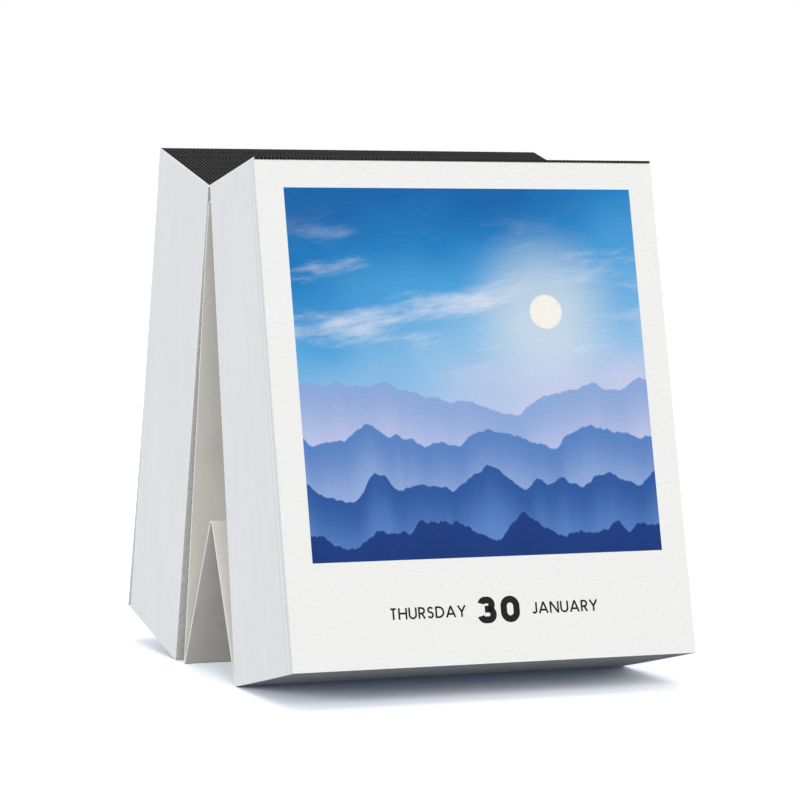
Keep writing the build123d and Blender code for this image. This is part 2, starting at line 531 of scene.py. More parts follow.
@dataclass(frozen=True)
class PicturePrint(FeltPaper):
    """Printed view of misty hills under an open sky."""

    name: str = "picture_hills"
    roughness: float = 0.62
    sky: tuple[tuple[float, Colour], ...] = ()
    ridges: tuple[Ridge, ...] = ()
    sun: Pair = (0.72, 0.66)
    sun_size: float = 0.045
    sun_colour: Colour = tone(255, 250, 240)
    sun_glow: float = 0.45
    cloud_colour: Colour = tone(236, 238, 248)
    cloud_scale: Triple = (2.1, 9.0, 1.0)
    cloud_turn: float = -7.0
    cloud_start: float = 3.1
    haze_scale: Triple = (2.0, 2.5, 1.0)
    sky_lean: float = -0.22
    crest_blur: float = 0.0025
    grain_scale: Triple = (260.0, 260.0, 1.0)
    grain_colour: Colour = tone(20, 30, 60)
    grain_strength: float = 0.07

    def sky_colour(self, bench: NodeBench, across: Any, up: Any) -> Any:
        """Sky with thin clouds and a pale sun.

        Args:
            bench: Node tree of the material.
            across: Place across the picture.
            up: Place up the picture.

        Returns:
            Colour output.
        """
        haze = bench.noise(bench.place(self.haze_scale, uv=PRINT_MAP), 1.0, 2.0)
        lean = bench.calc("MULTIPLY", across, self.sky_lean)
        height = bench.calc("ADD", bench.calc("ADD", up, lean), bench.span(haze, 0.3, 0.7, 0.02, 0.14))
        colour = bench.ramp(height, self.sky)
        drift = bench.place(self.cloud_scale, math.radians(self.cloud_turn), PRINT_MAP)
        streaks = bench.noise(drift, 1.0, 6.0, 0.62)
        streaks.node.noise_dimensions = "4D"
        streaks.node.inputs["W"].default_value = self.cloud_start
        band = bench.calc("MULTIPLY", bench.span(up, 0.42, 0.62), bench.span(up, 0.98, 0.72))
        cloud = bench.calc("MULTIPLY", bench.span(streaks, 0.5, 0.72, 0.0, 0.75), band)
        colour = bench.blend(cloud, colour, self.cloud_colour)
        spot = bench.node("ShaderNodeCombineXYZ", {"X": across, "Y": up}).outputs[0]
        centre = (*self.sun, 0.0)
        away = bench.node("ShaderNodeVectorMath", {0: spot, 1: centre}, operation="DISTANCE").outputs["Value"]
        glow = bench.span(away, 6 * self.sun_size, 0.9 * self.sun_size, 0.0, self.sun_glow)
        disc = bench.span(away, 1.12 * self.sun_size, 0.94 * self.sun_size)
        colour = bench.blend(glow, colour, self.sun_colour)
        return bench.blend(disc, colour, self.sun_colour)

    def ridge_colour(self, bench: NodeBench, ridge: Ridge, across: Any, up: Any, behind: Any) -> Any:
        """One line of hills, misty towards its foot, in front of what lies behind it.

        Args:
            bench: Node tree of the material.
            ridge: The line of hills.
            across: Place across the picture.
            up: Place up the picture.
            behind: Colour behind the hills.

        Returns:
            Colour output.
        """
        place = bench.calc("ADD", bench.calc("MULTIPLY", across, ridge.waves), ridge.start)
        inputs = {"W": place, "Scale": 1.0, "Detail": 7.0, "Roughness": 0.46}
        outline = bench.node("ShaderNodeTexNoise", inputs, noise_dimensions="1D").outputs[0]
        crest = bench.span(outline, 0.25, 0.75, ridge.base, ridge.base + ridge.rise)
        crest.node.interpolation_type = "LINEAR"
        below = bench.calc("SUBTRACT", crest, up)
        body = bench.blend(bench.span(below, 0.0, 1.3 * ridge.rise), ridge.crest, ridge.mist)
        return bench.blend(bench.span(below, -self.crest_blur, self.crest_blur), behind, body)

    def material(self) -> Material:
        """Make the material."""
        bench = self.bench()
        uv = bench.node("ShaderNodeUVMap", {}, uv_map=PRINT_MAP).outputs["UV"]
        split = bench.node("ShaderNodeSeparateXYZ", {"Vector": uv})
        across, up = split.outputs["X"], split.outputs["Y"]
        colour = self.sky_colour(bench, across, up)
        for ridge in self.ridges:
            colour = self.ridge_colour(bench, ridge, across, up, colour)
        grain = bench.noise(bench.place(self.grain_scale, uv=PRINT_MAP), 1.0, 2.0)
        specks = bench.span(grain, 0.3, 0.7, 0.0, self.grain_strength)
        colour = bench.blend(specks, colour, self.grain_colour)
        dents, normal = self.relief(bench)
        roughness = bench.span(dents, 0.0, 1.0, self.roughness + 0.05, self.roughness - 0.05)
        return bench.finish(colour, roughness, normal)


class View(Enum):
    """Pictures on the sheets that can be seen."""

    BLUE_HILLS = PicturePrint(
        name="picture_blue_hills",
        sky=((0.30, tone(206, 210, 240)), (0.50, tone(146, 196, 236)), (0.68, tone(76, 164, 222)),
             (0.84, tone(24, 128, 196)), (0.96, tone(0, 100, 170))),
        ridges=(Ridge(0.36, 0.17, 2.2, 4.3, tone(142, 172, 222), tone(202, 206, 240)),
                Ridge(0.24, 0.16, 3.1, 9.1, tone(88, 132, 198), tone(160, 182, 228)),
                Ridge(0.12, 0.15, 3.7, 17.4, tone(38, 86, 158), tone(92, 136, 202)),
                Ridge(0.0, 0.14, 4.6, 27.9, tone(10, 54, 124), tone(8, 44, 106))),
    )
    DUSK_HILLS = PicturePrint(
        name="picture_dusk_hills",
        sky=((0.30, tone(246, 214, 190)), (0.52, tone(232, 172, 160)), (0.74, tone(150, 132, 172)),
             (0.92, tone(84, 96, 150)), (1.0, tone(70, 88, 146))),
        ridges=(Ridge(0.34, 0.14, 2.6, 41.3, tone(176, 132, 146), tone(226, 176, 168)),
                Ridge(0.20, 0.18, 2.9, 52.6, tone(112, 84, 116), tone(168, 126, 140)),
                Ridge(0.02, 0.18, 3.9, 63.2, tone(48, 40, 70), tone(30, 26, 48))),
        sun=(0.3, 0.52),
        sun_colour=tone(255, 240, 214),
        cloud_colour=tone(250, 206, 178),
        cloud_start=7.7,
    )
    GREEN_HILLS = PicturePrint(
        name="picture_green_hills",
        sky=((0.30, tone(226, 236, 238)), (0.52, tone(186, 216, 230)), (0.74, tone(126, 182, 214)),
             (0.92, tone(82, 150, 198)), (1.0, tone(70, 140, 192))),
        ridges=(Ridge(0.38, 0.12, 2.4, 74.8, tone(136, 170, 172), tone(190, 208, 200)),
                Ridge(0.24, 0.16, 3.0, 85.1, tone(92, 138, 112), tone(150, 180, 142)),
                Ridge(0.08, 0.18, 3.4, 96.6, tone(52, 98, 66), tone(96, 136, 80)),
                Ridge(-0.02, 0.12, 4.4, 108.3, tone(24, 58, 40), tone(14, 40, 28))),
        sun=(0.62, 0.8),
        cloud_start=12.9,
    )
    GOLD_HILLS = PicturePrint(
        name="picture_gold_hills",
        sky=((0.30, tone(250, 236, 204)), (0.52, tone(246, 214, 150)), (0.74, tone(232, 180, 104)),
             (0.92, tone(206, 146, 84)), (1.0, tone(196, 136, 80))),
        ridges=(Ridge(0.36, 0.14, 2.3, 121.7, tone(206, 160, 112), tone(240, 206, 158)),
                Ridge(0.22, 0.16, 3.2, 133.4, tone(150, 104, 70), tone(204, 156, 108)),
                Ridge(0.04, 0.16, 3.8, 146.2, tone(78, 52, 42), tone(54, 36, 32))),
        sun=(0.5, 0.6),
        sun_colour=tone(255, 246, 220),
        cloud_colour=tone(252, 226, 182),
        cloud_start=18.3,
    )
    TEAL_HILLS = PicturePrint(
        name="picture_teal_hills",
        sky=((0.30, tone(232, 242, 238)), (0.52, tone(190, 224, 220)), (0.74, tone(126, 190, 192)),
             (0.92, tone(70, 150, 160)), (1.0, tone(56, 138, 150))),
        ridges=(Ridge(0.38, 0.13, 2.5, 159.6, tone(122, 168, 172), tone(186, 214, 212)),
                Ridge(0.24, 0.15, 3.1, 171.8, tone(70, 122, 132), tone(132, 176, 180)),
                Ridge(0.06, 0.16, 4.0, 184.5, tone(24, 66, 78), tone(14, 48, 60))),
        sun=(0.36, 0.74),
        cloud_start=23.6,
    )


@dataclass(frozen=True)
class Bar:
    """Straight stroke of a letter, in shares of the letter's height."""

    start: Pair
    end: Pair

    def draw(self, bm: Mesh, weight: float) -> None:
        """Draw the stroke.

        Args:
            bm: Mesh that gets it.
            weight: Width of the stroke.
        """
        start, end = Vector((*self.start, 0.0)), Vector((*self.end, 0.0))
        run = end - start
        turn = Matrix.Rotation(math.atan2(run.y, run.x), 4, "Z")
        size = Matrix.Diagonal((run.length, weight, 1.0, 1.0))
        place = Matrix.Translation((start + end) / 2) @ turn @ size
        bmesh.ops.create_grid(bm, x_segments=1, y_segments=1, size=0.5, matrix=place)


@dataclass(frozen=True)
class Bow:
    """Round stroke of a letter, in shares of the letter's height and in degrees."""

    centre: Pair
    radius: float
    start: float
    sweep: float

    def draw(self, bm: Mesh, weight: float) -> None:
        """Draw the stroke.

        Args:
            bm: Mesh that gets it.
            weight: Width of the stroke.
        """
        centre = Vector((*self.centre, 0.0))
        angle = math.radians(self.start)
        spoke = Vector((math.cos(angle), math.sin(angle), 0.0))
        ends = [bm.verts.new(centre + spoke * (self.radius + way * weight / 2)) for way in (-1, 1)]
        edge = bm.edges.new(ends)
        steps = max(LEAST_BOW_STEPS, round(abs(self.sweep) / BOW_STEP))
        sweep = math.radians(self.sweep)
        bmesh.ops.spin(bm, geom=[*ends, edge], cent=centre, axis=(0, 0, 1), angle=sweep, steps=steps)


@dataclass(frozen=True)
class Letter:
    """Letter or numeral: its width and its strokes."""

    width: float
    strokes: tuple[Bar | Bow, ...]


STEM = Bar((0.0, 0.0), (0.0, 1.0))
TOP, CROSS, FOOT = 0.93, 0.52, 0.07
CAPITALS = {
    "A": Letter(0.80, (
        Bar((0.0, 0.0), (0.40, 1.0)), Bar((0.40, 1.0), (0.80, 0.0)), Bar((0.14, 0.30), (0.66, 0.30)))),
    "D": Letter(0.68, (
        STEM, Bar((0.0, TOP), (0.25, TOP)), Bow((0.25, 0.5), 0.43, 90, -180),
        Bar((0.25, FOOT), (0.0, FOOT)))),
    "E": Letter(0.46, (
        STEM, Bar((0.0, TOP), (0.46, TOP)), Bar((0.0, CROSS), (0.42, CROSS)),
        Bar((0.0, FOOT), (0.46, FOOT)))),
    "F": Letter(0.44, (STEM, Bar((0.0, TOP), (0.44, TOP)), Bar((0.0, CROSS), (0.40, CROSS)))),
    "H": Letter(0.66, (STEM, Bar((0.66, 0.0), (0.66, 1.0)), Bar((0.0, CROSS), (0.66, CROSS)))),
    "I": Letter(0.0, (STEM,)),
    "J": Letter(0.36, (Bar((0.36, 1.0), (0.36, 0.25)), Bow((0.18, 0.25), 0.18, 0, -150))),
    "L": Letter(0.42, (STEM, Bar((0.0, FOOT), (0.42, FOOT)))),
    "N": Letter(0.72, (STEM, Bar((0.0, 1.0), (0.72, 0.0)), Bar((0.72, 0.0), (0.72, 1.0)))),
    "R": Letter(0.52, (
        STEM, Bar((0.0, TOP), (0.24, TOP)), Bow((0.24, 0.69), 0.24, 90, -180), Bar((0.24, 0.45), (0.0, 0.45)),
        Bar((0.24, 0.45), (0.52, 0.0)))),
    "S": Letter(0.50, (Bow((0.25, 0.725), 0.205, 25, 245), Bow((0.24, 0.295), 0.225, 90, -245))),
    "T": Letter(0.50, (Bar((0.0, TOP), (0.50, TOP)), Bar((0.25, 0.0), (0.25, 1.0)))),
    "U": Letter(0.62, (
        Bar((0.0, 1.0), (0.0, 0.38)), Bow((0.31, 0.38), 0.31, 180, 180), Bar((0.62, 0.38), (0.62, 1.0)))),
    "W": Letter(0.98, (
        Bar((0.0, 1.0), (0.25, 0.0)), Bar((0.25, 0.0), (0.49, 1.0)), Bar((0.49, 1.0), (0.73, 0.0)),
        Bar((0.73, 0.0), (0.98, 1.0)))),
    "Y": Letter(0.68, (
        Bar((0.0, 1.0), (0.34, 0.45)), Bar((0.34, 0.45), (0.68, 1.0)), Bar((0.34, 0.47), (0.34, 0.0)))),
}
NUMERALS = {
    "0": Letter(0.78, (
        Bow((0.39, 0.61), 0.26, 0, 180), Bar((0.13, 0.61), (0.13, 0.39)), Bow((0.39, 0.39), 0.26, 180, 180),
        Bar((0.65, 0.39), (0.65, 0.61)))),
    "1": Letter(0.50, (Bar((0.37, 0.0), (0.37, 1.0)), Bar((0.0, 0.79), (0.37, 0.87)))),
    "2": Letter(0.70, (
        Bow((0.35, 0.65), 0.22, 165, -195), Bar((0.54, 0.54), (0.15, 0.13)),
        Bar((0.06, 0.13), (0.66, 0.13)))),
    "3": Letter(0.74, (
        Bow((0.29, 0.70), 0.17, 165, -75), Bar((0.29, 0.87), (0.39, 0.87)), Bow((0.39, 0.70), 0.17, 90, -180),
        Bar((0.39, 0.53), (0.27, 0.53)), Bow((0.41, 0.33), 0.20, 90, -180), Bar((0.41, 0.13), (0.29, 0.13)),
        Bow((0.29, 0.33), 0.20, 270, -75))),
}


@dataclass(frozen=True)
class SheetPlane:
    """Outer face of a sheet: its top left corner as it is read, its directions and its sizes."""

    corner: Vector
    right: Vector
    down: Vector
    width: float
    height: float
    thickness: float

    @classmethod
    def of_node(cls, node: Piece, side: Side) -> "SheetPlane":
        """Read the outer face of a sheet, or of a month's outermost sheet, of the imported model.

        Args:
            node: The sheet or the month's sheets.
            side: Pad that it lies on.

        Returns:
            The face.
        """
        corners = section(node)
        half = len(corners) // 2
        outer_foot = max(corners[:half], key=lambda corner: corner.y * side.value)
        outer_top, inner_top = sorted(corners[half:], key=lambda corner: -corner.y * side.value)[:2]
        right = Vector((-side.value, 0.0, 0.0))
        width = max(vertex.co.x for vertex in node.data.vertices) * 2
        corner = Vector((0.0, outer_top.y, outer_top.z)) - right * width / 2
        fall = outer_foot - outer_top
        return cls(corner, right, fall.normalized(), width, fall.length, (outer_top - inner_top).length)

    def matrix(self) -> Matrix:
        """Place of a flat drawing with X to the right, Y up and Z out of the sheet."""
        up = -self.down
        axes = Matrix((self.right, up, self.right.cross(up))).transposed().to_4x4()
        return Matrix.Translation(self.corner) @ axes


def section(node: Piece) -> list[Vector]:
    """Corners of a prism's section at its left end.

    Args:
        node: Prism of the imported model, drawn along X.

    Returns:
        The corners, from the lowest up.
    """
    left = min(vertex.co.x for vertex in node.data.vertices)
    corners: list[Vector] = []
    for vertex in node.data.vertices:
        new = all((vertex.co - corner).length > MERGE for corner in corners)
        if vertex.co.x - left < MERGE and new:
            corners.append(vertex.co.copy())
    return sorted(corners, key=lambda corner: corner.z)


def islands(bm: Mesh) -> list[list[bmesh.types.BMVert]]:
    """Separate shells of a mesh.

    Args:
        bm: The mesh.

    Returns:
        The vertices of each shell.
    """
    left = set(bm.verts)
    found = []
    while left:
        todo = [left.pop()]
        shell = []
        while todo:
            vert = todo.pop()
            shell.append(vert)
            near = {edge.other_vert(vert) for edge in vert.link_edges} & left
            left -= near
            todo.extend(near)
        found.append(shell)
    return found


def new_piece(name: str, bm: Mesh, *materials: Material) -> Piece:
    """Object at the origin with a finished mesh.

    Args:
        name: Name of the piece.
        bm: Its mesh, which is freed.
        materials: Its materials, in the order of their slots.

    Returns:
        The object.
    """
    mesh = bpy.data.meshes.new(name)
    bm.to_mesh(mesh)
    bm.free()
    for material in materials:
        mesh.materials.append(material)
    piece = bpy.data.objects.new(name, mesh)
    bpy.context.scene.collection.objects.link(piece)
    return piece


@dataclass
class DayPad:
    """Day sheets of one pad, month by month, trimmed and stacked a little unevenly."""

    side: Side
    body: str
    months: tuple[str, ...]
    seed: int
    # Sheets, counted from the outside, that are painted darker as the shade in the gaps between bundles of
    # sheets.
    painted_gap_shade_sheets: tuple[int, ...] = ()
    sideways: float = 0.006 * MM
    uneven_foot: float = 0.003 * MM
    filled: float = 0.86
    lightness: float = 0.82
    uneven_lightness: float = 0.012
    # How much darker the painted gap shade makes those sheets.
    painted_gap_shade_depth: float = 0.6

    def build(self, nodes: Nodes, edges: Material, paper: Material) -> None:
        """Make the months' stacks and dress them.

        Args:
            nodes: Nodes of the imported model.
            edges: Finish of the cut edges.
            paper: Finish of the outermost sheet's face.
        """
        chance = random.Random(self.seed)
        for month in self.months:
            outermost = month == self.months[-1]
            bm = self.stack(nodes[f"{month}_sheets"], chance, outermost)
            piece = new_piece(f"{month}_stack", bm, *((edges, paper) if outermost else (edges,)))
            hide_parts(f"{month}_sheets")
            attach(piece, self.body)
            LOG.info("%s: %d faces", piece.name, len(piece.data.polygons))

    def stack(self, node: Piece, chance: random.Random, outermost: bool) -> Mesh:
        """Stack of one month's sheets.

        Args:
            node: The month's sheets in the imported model.
            chance: Source of the unevenness.
            outermost: Whether the month lies on the outside of the pad.

        Returns:
            The mesh.
        """
        bm = bmesh.new()
        bm.from_mesh(node.data)
        bmesh.ops.remove_doubles(bm, verts=bm.verts, dist=MERGE)
        bmesh.ops.dissolve_limit(bm, angle_limit=FLAT_TURN, verts=bm.verts, edges=bm.edges)
        # Per-sheet tone: random lightness, plus painted shade on a few sheets.
        tone_and_shade_layer = bm.faces.layers.float.new(SHEET_TONE_AND_SHADE_LAYER)
        way = self.side.value
        sheets = sorted(islands(bm), key=lambda shell: way * sum(vert.co.y for vert in shell))
        feet = [sorted(shell, key=lambda vert: vert.co.z)[:4] for shell in sheets]
        for foot, outer_foot in zip(feet, feet[1:]):
            self.close_gap(bm, foot, outer_foot)
        for number, (shell, foot) in enumerate(zip(sheets, feet)):
            shift = Vector((chance.gauss(0, self.sideways), 0.0, 0.0))
            bmesh.ops.translate(bm, verts=shell, vec=shift)
            fall = foot[0].co - max(shell, key=lambda vert: vert.co.z).co
            fall.x = 0.0
            fall.normalize()
            bmesh.ops.translate(bm, verts=foot, vec=fall * chance.gauss(0, self.uneven_foot))
            shade = chance.gauss(self.lightness, self.uneven_lightness)
            # Painted shade: these sheets are made darker to stand for the shadow in the gaps between bundles
            # of sheets.
            if outermost and len(sheets) - number in self.painted_gap_shade_sheets:
                shade -= self.painted_gap_shade_depth
            for face in {face for vert in shell for face in vert.link_faces}:
                face[tone_and_shade_layer] = min(max(shade, 0.0), 1.0)
        if outermost:
            bm.normal_update()
            outward = [face for face in bm.faces if way * face.normal.y > 0.5]
            max(outward, key=lambda face: way * face.calc_center_median().y).material_index = 1
        return bm

    def close_gap(self, bm: Mesh, foot: list, outer_foot: list) -> None:
        """Let a sheet's foot bulk up to fill most of the room to the next sheet.

        Args:
            bm: Mesh of the stack.
            foot: Lower corners of the sheet.
            outer_foot: Lower corners of the next sheet outwards.
        """
        way = self.side.value
        by_depth = sorted(foot, key=lambda vert: way * vert.co.y)
        nearest = min(way * vert.co.y for vert in outer_foot)
        room = nearest - way * by_depth[-1].co.y
        bmesh.ops.translate(bm, verts=by_depth[2:], vec=(0.0, way * room * self.filled, 0.0))


@dataclass
class DayPrint:
    """Print of a day sheet: a square picture in a white frame and a date line under it.

    By itself it lies on the outermost sheet of a month's stack and shows when the leaves over it lift.
    """

    node: str
    body: str
    side: Side
    view: View
    words: tuple[str, str, str]
    picture_left: float = 5.95 * MM
    picture_right: float = 5.7 * MM
    picture_top: float = 5.55 * MM
    picture_height: float = 76.95 * MM
    date_middle: float = 93.35 * MM
    capital: float = 2.35 * MM
    numeral: float = 5.45 * MM
    weight: float = 0.165
    heavy_weight: float = 0.26
    tracking: float = 0.29
    heavy_tracking: float = 0.18
    word_gap: float = 2.9 * MM
    ink_height: float = 0.012 * MM

    def build(self, nodes: Nodes, paper: Material, ink: Material) -> None:
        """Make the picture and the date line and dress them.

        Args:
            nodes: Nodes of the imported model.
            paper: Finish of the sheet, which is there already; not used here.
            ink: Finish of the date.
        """
        plane = SheetPlane.of_node(nodes[self.node], self.side)
        self.dress(
            new_piece(f"{self.node}_picture", self.picture(plane), self.view.value.material()),
            new_piece(f"{self.node}_date", self.date_line(plane), ink),
        )

    def dress(self, *pieces: Piece) -> None:
        """Let the pieces ride on the sheet's body."""
        for piece in pieces:
            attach(piece, self.body)
            LOG.info("%s: %d faces", piece.name, len(piece.data.polygons))

    def bend(self, drop: float, height: float) -> float:
        """Distance that the sheet stands out of its plane, which is none on a stack."""
        return 0.0

    def picture_sides(self, plane: SheetPlane) -> tuple[float, float, float, float]:
        """Left, right, foot and top of the picture on the sheet."""
        top = -self.picture_top
        return self.picture_left, plane.width - self.picture_right, top - self.picture_height, top

    def map_picture(self, bm: Mesh, plane: SheetPlane) -> None:
        """Give a flat drawing the picture's own coordinates.

        Args:
            bm: Mesh of the drawing.
            plane: Outer face of the sheet.
        """
        left, right, foot, top = self.picture_sides(plane)
        layer = bm.loops.layers.uv.new(PRINT_MAP)
        for face in bm.faces:
            for loop in face.loops:
                spot = loop.vert.co
                loop[layer].uv = ((spot.x - left) / (right - left), (spot.y - foot) / (top - foot))

    def picture(self, plane: SheetPlane) -> Mesh:
        """Film of ink that holds the picture.

        Args:
            plane: Outer face of the sheet.

        Returns:
            The mesh.
        """
        left, right, foot, top = self.picture_sides(plane)
        bm = bmesh.new()
        size = Matrix.Diagonal((right - left, top - foot, self.ink_height, 1.0))
        middle = Matrix.Translation(((left + right) / 2, (foot + top) / 2, self.ink_height / 2))
        bmesh.ops.create_cube(bm, size=1.0, matrix=middle @ size)
        self.map_picture(bm, plane)
        bmesh.ops.transform(bm, matrix=plane.matrix(), verts=bm.verts)
        return bm

    def word_width(self, word: str, letters: dict[str, Letter], height: float, tracking: float) -> float:
        """Width of a word, with tracking as a share of the letters' height."""
        gaps = max(len(word) - 1, 0)
        return height * (sum(letters[sign].width for sign in word) + tracking * gaps)

    def date_line(self, plane: SheetPlane) -> Mesh:
        """Weekday, heavy numeral and month in one centred line, where an empty word stays blank.

        Args:
            plane: Outer face of the sheet.

        Returns:
            The mesh.
        """
        light = (CAPITALS, self.capital, self.tracking, self.weight)
        heavy = (NUMERALS, self.numeral, self.heavy_tracking, self.heavy_weight)
        styles = (light, heavy, light)
        widths = [self.word_width(word, *style[:3]) for word, style in zip(self.words, styles)]
        pen = (plane.width - sum(widths) - 2 * self.word_gap) / 2
        bm = bmesh.new()
        for word, width, style in zip(self.words, widths, styles):
            self.set_word(bm, word, pen, style)
            pen += width + self.word_gap
        raised = bmesh.ops.extrude_face_region(bm, geom=bm.faces)["geom"]
        tops = [part for part in raised if isinstance(part, bmesh.types.BMVert)]
        bmesh.ops.translate(bm, verts=tops, vec=(0.0, 0.0, self.ink_height))
        bmesh.ops.recalc_face_normals(bm, faces=bm.faces)
        for vert in bm.verts:
            vert.co.z += self.bend(-vert.co.y, plane.height)
        bmesh.ops.transform(bm, matrix=plane.matrix(), verts=bm.verts)
        return bm

    def set_word(self, bm: Mesh, word: str, pen: float, style: tuple) -> None:
        """Set one word of the date line.

        Args:
            bm: Mesh that gets it.
            word: The word.
            pen: Distance of its left side from the sheet's left edge.
            style: Letters, height, tracking and stroke weight.
        """
        letters, height, tracking, weight = style
        for sign in word:
            before = set(bm.verts)
            for stroke in letters[sign].strokes:
                stroke.draw(bm, weight)
            drawn = [vert for vert in bm.verts if vert not in before]
            place = Matrix.Translation((pen, -self.date_middle - height / 2, 0.0))
            bmesh.ops.transform(bm, matrix=place @ Matrix.Scale(height, 4), verts=drawn)
            pen += height * (letters[sign].width + tracking)


@dataclass
class PrintedLeaf(DayPrint):
    """Loose outer sheet of a pad, with its print, whose back leaves room for the ink under it."""

    flare: float = 0.0
    flare_start: float = 0.5
    flare_power: float = 1.5
    flare_steps: int = 14
    back_room: float = 0.024 * MM

    def build(self, nodes: Nodes, paper: Material, ink: Material) -> None:
        """Make the sheet and its date line and dress them.

        Args:
            nodes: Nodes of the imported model.
            paper: Finish of the sheet.
            ink: Finish of the date.
        """
        plane = SheetPlane.of_node(nodes[self.node], self.side)
        leaf = new_piece(f"{self.node}_print", self.sheet(plane), paper, self.view.value.material())
        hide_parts(self.node)
        self.dress(leaf, new_piece(f"{self.node}_date", self.date_line(plane), ink))

    def bend(self, drop: float, height: float) -> float:
        """Distance that the flaring foot stands out of the sheet's plane, at a drop below the top edge."""
        start = self.flare_start * height
        return self.flare * (max(drop - start, 0.0) / (height - start)) ** self.flare_power

    def sheet(self, plane: SheetPlane) -> Mesh:
        """Sheet whose picture has its own faces.

        Args:
            plane: Outer face of the sheet.

        Returns:
            The mesh.
        """
        bm = bmesh.new()
        thickness = plane.thickness - self.back_room
        size = Matrix.Diagonal((plane.width, plane.height, thickness, 1.0))
        middle = Matrix.Translation((plane.width / 2, -plane.height / 2, -thickness / 2))
        bmesh.ops.create_cube(bm, size=1.0, matrix=middle @ size)
        left, right, foot, top = self.picture_sides(plane)
        cuts = [((side, 0, 0), (1, 0, 0)) for side in (left, right)]
        cuts += [((0, side, 0), (0, 1, 0)) for side in (top, foot)]
        if self.flare:
            start = self.flare_start
            shares = [start + (1 - start) * step / self.flare_steps for step in range(self.flare_steps)]
            cuts += [((0, -share * plane.height, 0), (0, 1, 0)) for share in shares]
        for point, normal in cuts:
            geom = [*bm.verts, *bm.edges, *bm.faces]
            bmesh.ops.bisect_plane(bm, geom=geom, dist=MERGE, plane_co=point, plane_no=normal)
        for face in bm.faces:
            spot = face.calc_center_median()
            inside = left < spot.x < right and foot < spot.y < top
            face.material_index = int(inside and face.normal.z > 0.5)
        self.map_picture(bm, plane)
        for vert in bm.verts:
            vert.co.z += self.bend(-vert.co.y, plane.height)
        bmesh.ops.transform(bm, matrix=plane.matrix(), verts=bm.verts)
        return bm


class FoldedStrip:
    """Strip of card or cloth, drawn as an edge along straight runs and round folds."""

    def __init__(self, start: Vector, width: float, columns: int = 1) -> None:
        """Start with an edge along X.

        Args:
            start: Middle of the edge.
            width: Length of the edge.
            columns: Faces across the strip.
        """
        self.bm = bmesh.new()
        self.along = self.bm.verts.layers.float.new("along")
        ends = [self.bm.verts.new(start + Vector((way * width / 2, 0.0, 0.0))) for way in (-1, 1)]
        self.edges = [self.bm.edges.new(ends)]
        if columns > 1:
            bmesh.ops.subdivide_edges(self.bm, edges=self.edges, cuts=columns - 1)
            self.edges = list(self.bm.edges)
        self.point = start.copy()
        self.length = 0.0

    def run(self, target: Vector, steps: int = 1) -> None:
        """Draw the edge straight to a point.

        Args:
            target: Middle of the edge at the end.
            steps: Faces along the run.
        """
        step = (target - self.point) / steps
        for _ in range(steps):
            made = bmesh.ops.extrude_edge_only(self.bm, edges=self.edges)["geom"]
            verts = {part for part in made if isinstance(part, bmesh.types.BMVert)}
            bmesh.ops.translate(self.bm, verts=list(verts), vec=step)
            edges = [part for part in made if isinstance(part, bmesh.types.BMEdge)]
            self.edges = [edge for edge in edges if set(edge.verts) <= verts]
            self.length += step.length
            for vert in verts:
                vert[self.along] = self.length
        self.point = target.copy()

    def fold(self, centre: Vector, turn: float, steps: int) -> None:
        """Turn the edge about a line along X.

        Args:
            centre: Point on the line.
            turn: Angle in radians.
            steps: Faces round the fold.
        """
        arm = self.point - Vector((self.point.x, centre.y, centre.z))
        for _ in range(steps):
            geom = [*self.edges, *{vert for edge in self.edges for vert in edge.verts}]
            made = bmesh.ops.spin(
                self.bm, geom=geom, cent=centre, axis=(1, 0, 0), angle=turn / steps, steps=1)["geom_last"]
            self.edges = [part for part in made if isinstance(part, bmesh.types.BMEdge)]
            self.length += abs(turn / steps) * arm.length
            for vert in {vert for edge in self.edges for vert in edge.verts}:
                vert[self.along] = self.length
            arm = Matrix.Rotation(turn / steps, 3, "X") @ arm
        self.point = Vector((self.point.x, centre.y, centre.z)) + arm

    def done(self) -> Mesh:
        """Turn the strip's faces up, map its own surface in metres, and hand it over."""
        bmesh.ops.recalc_face_normals(self.bm, faces=self.bm.faces)
        if sum(face.normal.z * face.calc_area() for face in self.bm.faces) < 0:
            bmesh.ops.reverse_faces(self.bm, faces=self.bm.faces)
        layer = self.bm.loops.layers.uv.new(WEAVE_MAP)
        for face in self.bm.faces:
            for loop in face.loops:
                loop[layer].uv = (loop.vert.co.x, loop.vert[self.along])
        return self.bm


def thicken(piece: Piece, thickness: float, offset: float, bevel: float) -> None:
    """Give a strip its thickness, with softened cut edges in the second material slot.

    Args:
        piece: The strip.
        thickness: Thickness of the material.
        offset: -1 puts it behind the strip's faces, 0 on both sides of them.
        bevel: Rounding of the cut edges.
    """
    wall = piece.modifiers.new("thickness", "SOLIDIFY")
    wall.thickness = thickness
    wall.offset = offset
    wall.use_even_offset = True
    wall.material_offset_rim = 1
    soft = piece.modifiers.new("soft_edges", "BEVEL")
    soft.width = bevel
    soft.segments = BEVEL_SEGMENTS
    soft.limit_method = "ANGLE"
    soft.angle_limit = SHARP_TURN


